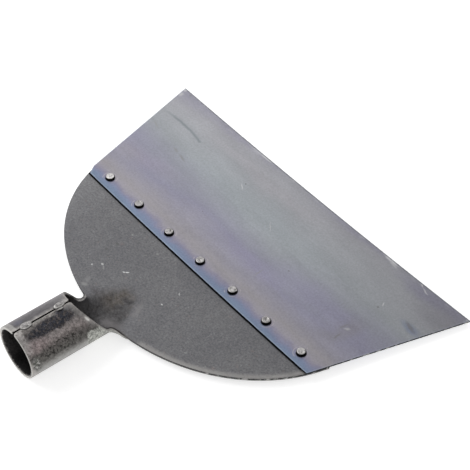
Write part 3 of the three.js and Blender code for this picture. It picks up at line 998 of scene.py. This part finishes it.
# Dark specks, smudges and light ticks on the blade, as ovals with grey levels.
BLADE_MARKS = [
    (-40.6, 92.0, 1.0, 0.7, 0.0, 84),
    (-40.0, 88.0, 5.0, 0.5, -0.6, 170),
    (43.2, 60.8, 1.0, 0.8, 0.0, 96),
    (-37.3, 51.0, 0.8, 0.7, 0.0, 100),
    (103.9, 84.4, 1.2, 0.9, 0.0, 104),
    (104.2, 88.8, 2.2, 0.6, -1.0, 186),
    (-89.4, 72.8, 6.0, 1.4, -0.3, 124),
    (-98.8, 74.5, 4.0, 1.2, -0.2, 128),
    (-130.0, 80.0, 6.0, 1.2, -0.3, 132),
    (130.0, 88.0, 8.0, 1.8, -0.3, 112),
    (106.5, 47.0, 1.0, 5.0, 0.1, 112),
    (103.0, 56.0, 0.8, 6.0, -0.2, 118),
    (32.0, 44.0, 0.7, 6.0, 0.1, 126),
    (3.0, 78.0, 7.0, 0.5, -0.7, 164),
    (106.0, 56.0, 3.0, 1.4, 0.6, 158),
    (-148.0, 120.5, 2.2, 3.0, 0.3, 178),
    (-146.2, 115.0, 2.8, 3.2, 0.3, 168),
    (-140.5, 119.5, 1.6, 1.2, 0.0, 118),
    (148.5, 120.5, 1.4, 1.2, 0.0, 190),
    (-53.0, 120.5, 9.0, 1.2, 0.0, 182),
    (77.5, 120.5, 10.0, 1.6, -0.05, 200),
    (81.0, 119.0, 7.0, 1.4, -0.2, 170),
    (107.2, 120.2, 3.0, 0.8, -0.5, 200),
    (113.0, 117.8, 5.2, 0.8, -0.33, 176),
]

SCRATCH_CENTRE = (-0.1195, -0.0254, 0.0)
SCRATCH_RADIUS = 0.1213
SCRATCH_WIDTH = 0.0019
SCRATCH_ENDS = [(ACROSS, -0.144, -0.122), (ACROSS, -0.0935, -0.0955)]


def scratch(at, colour):
    """The long curved scratch by the far corner, darkest towards its end."""
    far = flat_length(vector_calc("SUBTRACT", at, SCRATCH_CENTRE))
    far = calc("ADD", far, swung(clouds(at, 0.004, 2.0), -0.0003, 0.0003))
    off = apart(far, SCRATCH_RADIUS)
    line = ramped(off, SCRATCH_WIDTH, 0.0)
    return washed(colour, (112, 118, 122), line, zone(at, SCRATCH_ENDS), 0.85)


GROUND_Y = BLADE_FRONT_Y - BLADE_GRIND_WIDTH
GROUND_STRIP = [(ALONG, GROUND_Y - 0.0002, GROUND_Y + 0.0002)]
RUBBED_FRONT = [(ALONG, 0.1165, 0.1215)]


def worn_front(at, colour):
    """Light smears where the working edge has been ground and rubbed."""
    smear = ramped(clouds(at, 0.006, 4.0, 0.65, (0.35, 1, 1)), 0.52, 0.68)
    return washed(colour, (176, 176, 180), zone(at, RUBBED_FRONT), smear, 0.6)


# Marks round each rivet: a painted shadow, as shares of its head's width, off to the side away from the
# lamps, and a ring.
SHADOW_REACH = (0.58, 0.49)
SHADOW_OFFSET = (0.0004, -0.0003, 0.0)
RING_RADIUS = 0.0052
RING_WIDTH = 0.0005


def rivet_marks(at, colour):
    """Painted shadow against each rivet, off to the side away from the lamps, and faint rings from the set
    that closed it.
    """
    x, y, _ = parts(at)
    along = calc("WRAP", x, RIVET_PITCH / 2, -RIVET_PITCH / 2)
    off = calc("SUBTRACT", y, RIVET_LINE)
    place = follow("ShaderNodeCombineXYZ", {0: along, 1: off}).outputs[0]
    # Painted shadow round the head, shifted away from the lamps.
    beside = flat_length(vector_calc("SUBTRACT", place, SHADOW_OFFSET))
    rivet_shadow = ramped(beside, *(share * RIVET_HEAD for share in SHADOW_REACH))
    colour = washed(colour, (30, 29, 33), rivet_shadow, 0.95)
    off = apart(flat_length(place), RING_RADIUS)
    broken = ramped(clouds(at, 0.005, 2.0), 0.5, 0.62)
    return washed(colour, (172, 166, 166), ramped(off, RING_WIDTH, 0.0), broken, 0.5)


def blade_finish():
    made, tree, shader = new_finish("temper_blued", 0.85, 0.42)
    at = own_place(tree)
    drawn = clouds(at, 0.006, 5.0, 0.6, (0.12, 1, 1))
    colour = grained(temper_bands(at), drawn, 0.05)
    grain = clouds(at, 0.0013, 5.0, 0.65)
    colour = grained(colour, grain, 0.11)
    colour = washed(colour, (148, 148, 154), zone(at, GROUND_STRIP), 0.6)
    colour = scratch(at, colour)
    colour = marked(stirred(at, 0.002, 0.0016), colour, BLADE_MARKS, 0.8, 0.8, 2)
    colour = worn_front(at, colour)
    colour = rivet_marks(at, colour)
    # A pale band along the blade's edges: its burr, with painted highlight where the edge catches the
    # light.
    rim = ramped(kept(tree, "rim"), 0.0009, 0.0003)
    colour = washed(colour, (168, 176, 188), rim, 0.3)
    smear = clouds(at, 0.02, 4.0, 0.6, (0.3, 1, 1))
    feed(shader.inputs["Roughness"], spread(smear, 0.2, 0.8, 0.36, 0.48))
    coat(shader, colour, calc("ADD", drawn, grain), 0.00002)
    return made


def rivet_finish():
    """Hammered steel, each rivet as light as its shade says, with a pale ring where its crown starts to
    round, partly worn rim and partly painted highlight, and painted shade down its sides.
    """
    made, tree, shader = new_finish("peened_rivet", 0.9, 0.38)
    blots = clouds(own_place(tree), 0.0012, 4.0, 0.75)
    shade = kept(tree, "shade")
    colour = blend(shade, (88, 86, 88), (190, 188, 187))
    colour = grained(colour, blots, 0.55)
    up = facing_up(tree)
    # A pale ring where the crown starts to round: partly worn rim, partly painted highlight.
    colour = washed(colour, (222, 219, 217), ramped(up, 0.99, 0.96), 0.5)
    # Painted shade: near black down the head's sides.
    colour = washed(colour, (12, 11, 14), ramped(up, 0.93, 0.76))
    coat(shader, colour, blots, 0.00012)
    return made


def weld_finish():
    """Rough weld metal, with painted highlight on its slopes and painted shade where it meets the sheet."""
    made, tree, shader = new_finish("weld_metal", 0.75, 0.45)
    at = own_place(tree)
    beads = clouds(at, 0.0018, 4.0, 0.65)
    up = facing_up(tree)
    # Painted highlight: lighter where the surface turns away from up.
    colour = blend(ramped(up, 0.97, 0.86), (140, 138, 137), (204, 202, 199))
    colour = grained(colour, beads, 0.55)
    # Painted shade in the crease where the tack meets the sheet: low down, and where it faces steeply away
    # from up.
    low = ramped(parts(at)[2], SOCKET_DIAMETER + 0.0006, SOCKET_DIAMETER + 0.0002)
    foot = calc("MAXIMUM", low, ramped(up, 0.62, 0.4))
    colour = washed(colour, (44, 42, 42), foot, 0.9)
    coat(shader, colour, beads, 0.0001)
    return made


# Pieces.


def show(piece, finishes, slot, *nodes):
    for finish in finishes:
        piece.data.materials.append(finish)
    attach(piece, "root")
    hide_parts(*nodes)


def rivet_places():
    return [mix(-RIVET_SPAN / 2, RIVET_SPAN / 2, i / (RIVET_COUNT - 1)) for i in range(RIVET_COUNT)]


def rivet_holes():
    return [(x, 0, RIVET_SHANK / 2 + HOLE_GAP) for x in rivet_places()]


def make_socket_plate():
    outline = plate_outline()
    holes = rivet_holes()
    nail_hole = (0, MOUTH_Y + NAIL_HOLE_FROM_MOUTH, NAIL_HOLE_DIAMETER / 2)
    mesh = flat_blank(outline, [*holes, nail_hole], SHEET)
    below = rim_edges(mesh, -SHEET * 1.1, -SHEET * 0.9)
    round_over(mesh, [edge for edge in below if near_hole(edge, holes)], RIVET_SINK_DEPTH, 1)
    rest = rim_edges(mesh, -SHEET * 1.1, SHEET)
    round_over(mesh, [edge for edge in rest if not near_hole(edge, holes)], RIM_ROUND, 2)
    cut_for_bending(mesh, PLATE_CUTS)
    piece = bent("socket_plate_sheet", mesh, outline, plate_surface, SHEET / 2)
    rim = sheared_rim("plate_rim", *PLATE_RIM)
    show(piece, [plate_finish(), rim], "plate_steel", "socket_plate")


def make_blade():
    outline = blade_outline()
    holes = rivet_holes()
    mesh = flat_blank(outline, holes, BLADE)
    rims = [edge for edge in rim_edges(mesh, -BLADE * 1.1, BLADE) if not near_hole(edge, holes)]
    round_over(mesh, rims, RIM_ROUND / 2, 2)
    crease = BLADE_EDGE_REACH - BLADE_GRIND_WIDTH
    cut_across(mesh, ALONG, [crease])
    grind(mesh)
    cut_across(mesh, ALONG, [crease - BLADE_CREASE_STRIP])
    cut_for_bending(mesh, BLADE_CUTS)
    piece = bent("spring_blade_sheet", mesh, outline, blade_surface, BLADE / 2)
    rim = sheared_rim("blade_rim", *BLADE_RIM)
    show(piece, [blade_finish(), rim], "blued_steel", "spring_blade")


# Each rivet's dent, as shares of its head's radius: across, along, reach and depth.
DENT_SHARES = [
    (0.35, -0.1, 0.5, 0.07),
    (-0.3, 0.25, 0.45, 0.1),
    (0.2, 0.4, 0.4, 0.14),
    (0.05, -0.15, 0.35, 0.09),
    (0.6, 0.35, 0.3, 0.14),
    (-0.1, 0.2, 0.5, 0.16),
    (0.45, -0.1, 0.3, 0.1),
]

# How light each rivet is, from 0 to 1.
RIVET_SHADES = [0.92, 0.44, 0.46, 0.56, 0.58, 0.44, 0.72]


def rivet_profile():
    """Radius and height from the sunk head's middle to the crown's, from the blade's middle."""
    bottom = -BLADE / 2 - SEAT_GAP - SHEET
    seat = BLADE / 2 + SEAT_GAP
    head = RIVET_HEAD / 2
    top = seat + RIVET_HEAD_HEIGHT
    points = [(0, bottom), (RIVET_SINK / 4, bottom), (RIVET_SINK / 2 - RIM_ROUND / 2, bottom)]
    points += [(RIVET_SINK / 2, bottom + RIM_ROUND / 2), (RIVET_SINK / 2, bottom + RIVET_SINK_RIM)]
    points += [(RIVET_SHANK / 2, bottom + RIVET_SINK_DEPTH), (RIVET_SHANK / 2, seat)]
    points += [(head - RIM_ROUND, seat), (head, seat + RIM_ROUND)]
    points += arc((head - RIVET_HEAD_ROUND, top - RIVET_HEAD_ROUND), RIVET_HEAD_ROUND, math.pi / 2, 0)
    rest = head - RIVET_HEAD_ROUND
    return points + [(rest * (1 - i / CROWN_RINGS), top) for i in range(1, CROWN_RINGS + 1)]


def peened(point, dent):
    """Sinks a point of the crown: a shallow dish, one dent and the unevenness of hammering."""
    across, along, reach, depth = (share * RIVET_HEAD / 2 for share in dent)
    far = math.hypot(point.x, point.y) / (RIVET_HEAD / 2)
    dish = RIVET_DISH * (1 - min(1, far) ** 2)
    dent_far = math.hypot(point.x - across, point.y - along) / reach
    pit = depth * (1 - smooth(0.2, 1.0, dent_far))
    return dish + pit


def hammer(mesh, number):
    """Sinks and rounds a rivet's crown, each one in its own way."""
    seat = BLADE / 2 + SEAT_GAP
    dent = DENT_SHARES[number - 1]
    for vertex in mesh.verts:
        if vertex.co.z > seat + RIM_ROUND * 1.5:
            lift = (vertex.co.z - seat) / RIVET_HEAD_HEIGHT
            wobble = noise.noise(vertex.co / RIVET_HEAD * 2 + Vector((number * RIVET_SEED, 0, 0)))
            vertex.co.z -= lift * (peened(vertex.co, dent) + RIVET_DISH * 0.5 * (wobble + 1))
            vertex.co.xy *= 1 - RIVET_WOBBLE * lift * (wobble + 1)


def make_rivet(number, x):
    mesh = bmesh.new()
    points = [mesh.verts.new((radius, 0, height)) for radius, height in rivet_profile()]
    edges = [mesh.edges.new(pair) for pair in zip(points, points[1:])]
    bmesh.ops.spin(
        mesh, geom=points + edges, cent=(0, 0, 0), axis=(0, 0, 1), dvec=(0, 0, 0),
        angle=2 * math.pi, steps=RIVET_STEPS, use_merge=True,
    )
    bmesh.ops.remove_doubles(mesh, verts=mesh.verts[:], dist=SAME_PLACE)
    bmesh.ops.recalc_face_normals(mesh, faces=mesh.faces[:])
    hammer(mesh, number)
    up = Vector(normal_of(blade_surface, np.array([x]), np.array([0.0]))[0])
    spot = Vector(blade_surface(np.array([x]), np.array([0.0]))[0]) + Vector((0, RIVET_LINE, 0))
    turn = Vector((0, 0, 1)).rotation_difference(up).to_matrix().to_4x4()
    bmesh.ops.transform(mesh, matrix=Matrix.Translation(spot) @ turn, verts=mesh.verts[:])
    data = mesh_data(f"rivet_{number}_peened", mesh)
    keep(data, "shade", "FLOAT", "value", [RIVET_SHADES[number - 1]] * len(data.vertices))
    data.shade_smooth()
    data.set_sharp_from_angle(angle=RIVET_CREASE)
    show(in_scene(data), [rivet_steel], "rivet_steel", f"rivet_{number}")


# Lumps of each weld tack, from its middle: across and along, half width, half length and height.
MOUTH_LUMPS = [
    (0.0, -0.0002, 0.0029, 0.0042, 0.00105),
    (0.0004, 0.0024, 0.0022, 0.0019, 0.00125),
]
NECK_LUMPS = [
    (-0.001, 0.0003, 0.0023, 0.0043, 0.0012),
    (0.0022, -0.0009, 0.0009, 0.0025, 0.001),
]


def make_tack(node, y, lumps, seed):
    """A weld tack: rough lumps of weld metal across the seam, run down into both lips."""
    mesh = bmesh.new()
    bmesh.ops.create_uvsphere(mesh, u_segments=TACK_SIDES, v_segments=TACK_RINGS, radius=1)
    top = SOCKET_FLOOR + MID_RADIUS + SOCKET_DIAMETER / 2
    for vertex in mesh.verts:
        side = Vector((vertex.co.x * TACK_WIDTH / 2, vertex.co.y * TACK_LENGTH / 2, 0))
        height = TACK_ROOT
        if vertex.co.z > TACK_FOOT_SHARE:
            for across, along, half_width, half_length, lump in lumps:
                far = math.hypot((side.x - across) / half_width, (side.y - along) / half_length)
                if far < 1:
                    height = max(height, mix(TACK_ROOT, lump, (1 - far**TACK_SQUARENESS) ** 0.5))
        grain = side / TACK_WIDTH * TACK_RIPPLES_ACROSS + Vector((seed, 0, 0))
        height += noise.fractal(grain, *TACK_NOISE) * TACK_RIPPLE
        height = max(TACK_ROOT, min(height, TACK_HEIGHT))
        vertex.co = side + Vector((0, y + RIVET_LINE, top + height))
    data = mesh_data(f"{node}_bead", mesh)
    data.shade_smooth()
    show(in_scene(data), [weld_metal], "weld_steel", node)


# Stage, lights and camera.
FLOOR_SIZE = 12.0
CAMERA_AIM = Vector((-0.00433, 0.05323, 0.005))
CAMERA_DISTANCE = 0.98633
CAMERA_AZIMUTH = math.radians(52.257)
CAMERA_ELEVATION = math.radians(45.396)
CAMERA_ROLL = math.radians(-1.187)
CAMERA_LENS = 112.068
LAMP_SIDE_AZIMUTH = math.radians(-127)
LAMP_SIDE_ELEVATION = math.radians(40)
BEHIND_LAMPS = 0.433
ALL_ROUND = 0.9
ALL_ROUND_FROM = -0.6
FLOOR_GLOW = 0.6
FLOOR_PAINT = (0.8, 0.8, 0.8, 1)

# Square lamps: azimuth and elevation in degrees, distance, size and radiance.
LAMPS = {
    "far_window": (-122, 38, 1.5, 1.0, 1.643),
    "side_window": (-60, 45, 0.9, 0.6, 2.447),
}


def towards(azimuth, elevation):
    """Direction at an azimuth counted from -Y towards +X."""
    level = math.cos(elevation)
    return Vector((math.sin(azimuth) * level, -math.cos(azimuth) * level, math.sin(elevation)))


def facing(data, aim, azimuth, elevation, distance, roll=0.0):
    """A camera or lamp that looks at its aim from a distance."""
    out = towards(azimuth, elevation)
    look = (-out).to_track_quat("-Z", "Y") @ Quaternion((0, 0, 1), roll)
    made = in_scene(data)
    made.matrix_world = Matrix.Translation(aim + out * distance) @ look.to_matrix().to_4x4()
    return made


def make_camera():
    data = bpy.data.cameras.new("camera")
    data.lens = CAMERA_LENS
    way = CAMERA_AZIMUTH, CAMERA_ELEVATION, CAMERA_DISTANCE, CAMERA_ROLL
    bpy.context.scene.camera = facing(data, CAMERA_AIM, *way)


def softbox(name, azimuth, elevation, distance, size, radiance):
    """A square lamp that faces the object, as bright all over as radiance says."""
    data = bpy.data.lights.new(name, "AREA")
    data.shape = "SQUARE"
    data.size = size
    data.energy = radiance * math.pi * size * size
    facing(data, Vector(), math.radians(azimuth), math.radians(elevation), distance)


def seen_directly(tree):
    path = add(tree, "ShaderNodeLightPath").outputs
    either = calc("MAXIMUM", path["Is Camera Ray"], path["Is Glossy Ray"])
    return calc("MAXIMUM", either, path["Is Transmission Ray"])


def make_floor():
    mesh = bmesh.new()
    bmesh.ops.create_grid(mesh, x_segments=1, y_segments=1, size=FLOOR_SIZE / 2)
    floor = in_scene(mesh_data("floor", mesh))
    made = bpy.data.materials.new("pale_floor")
    made.use_nodes = True
    tree = made.node_tree
    tree.nodes.clear()
    paint = add(tree, "ShaderNodeBsdfDiffuse", {"Color": FLOOR_PAINT})
    strength = calc("MULTIPLY", seen_directly(tree), FLOOR_GLOW)
    glow = follow("ShaderNodeEmission", {"Strength": strength})
    both = follow("ShaderNodeAddShader", {0: paint.outputs[0], 1: glow.outputs[0]})
    follow("ShaderNodeOutputMaterial", {0: both.outputs[0]})
    floor.data.materials.append(made)


def make_world():
    """Soft light from all round, less of it from behind the two lamps, which make up for it."""
    world = bpy.data.worlds.new("studio")
    bpy.context.scene.world = world
    world.use_nodes = True
    tree = world.node_tree
    tree.nodes.clear()
    way = add(tree, "ShaderNodeTexCoord").outputs["Generated"]
    lamp_way = towards(LAMP_SIDE_AZIMUTH, LAMP_SIDE_ELEVATION)
    share = vector_calc("DOT_PRODUCT", way, lamp_way, output=1)
    around = spread(share, ALL_ROUND_FROM, 1.0, ALL_ROUND, BEHIND_LAMPS, "SMOOTHSTEP")
    back = follow("ShaderNodeBackground", {"Strength": around})
    follow("ShaderNodeOutputWorld", {0: back.outputs[0]})


bpy.context.scene.view_settings.view_transform = "Standard"
make_camera()
make_world()
make_floor()
for lamp, setting in LAMPS.items():
    softbox(lamp, *setting)

rivet_steel = rivet_finish()
weld_metal = weld_finish()
make_socket_plate()
make_blade()
for index, place in enumerate(rivet_places()):
    make_rivet(index + 1, place)
make_tack("seam_tack_mouth", MOUTH_Y + TACK_FROM_MOUTH, MOUTH_LUMPS, MOUTH_TACK_SEED)
make_tack("seam_tack_neck", SEAM_END_Y - TACK_FROM_SEAM_END, NECK_LUMPS, NECK_TACK_SEED)
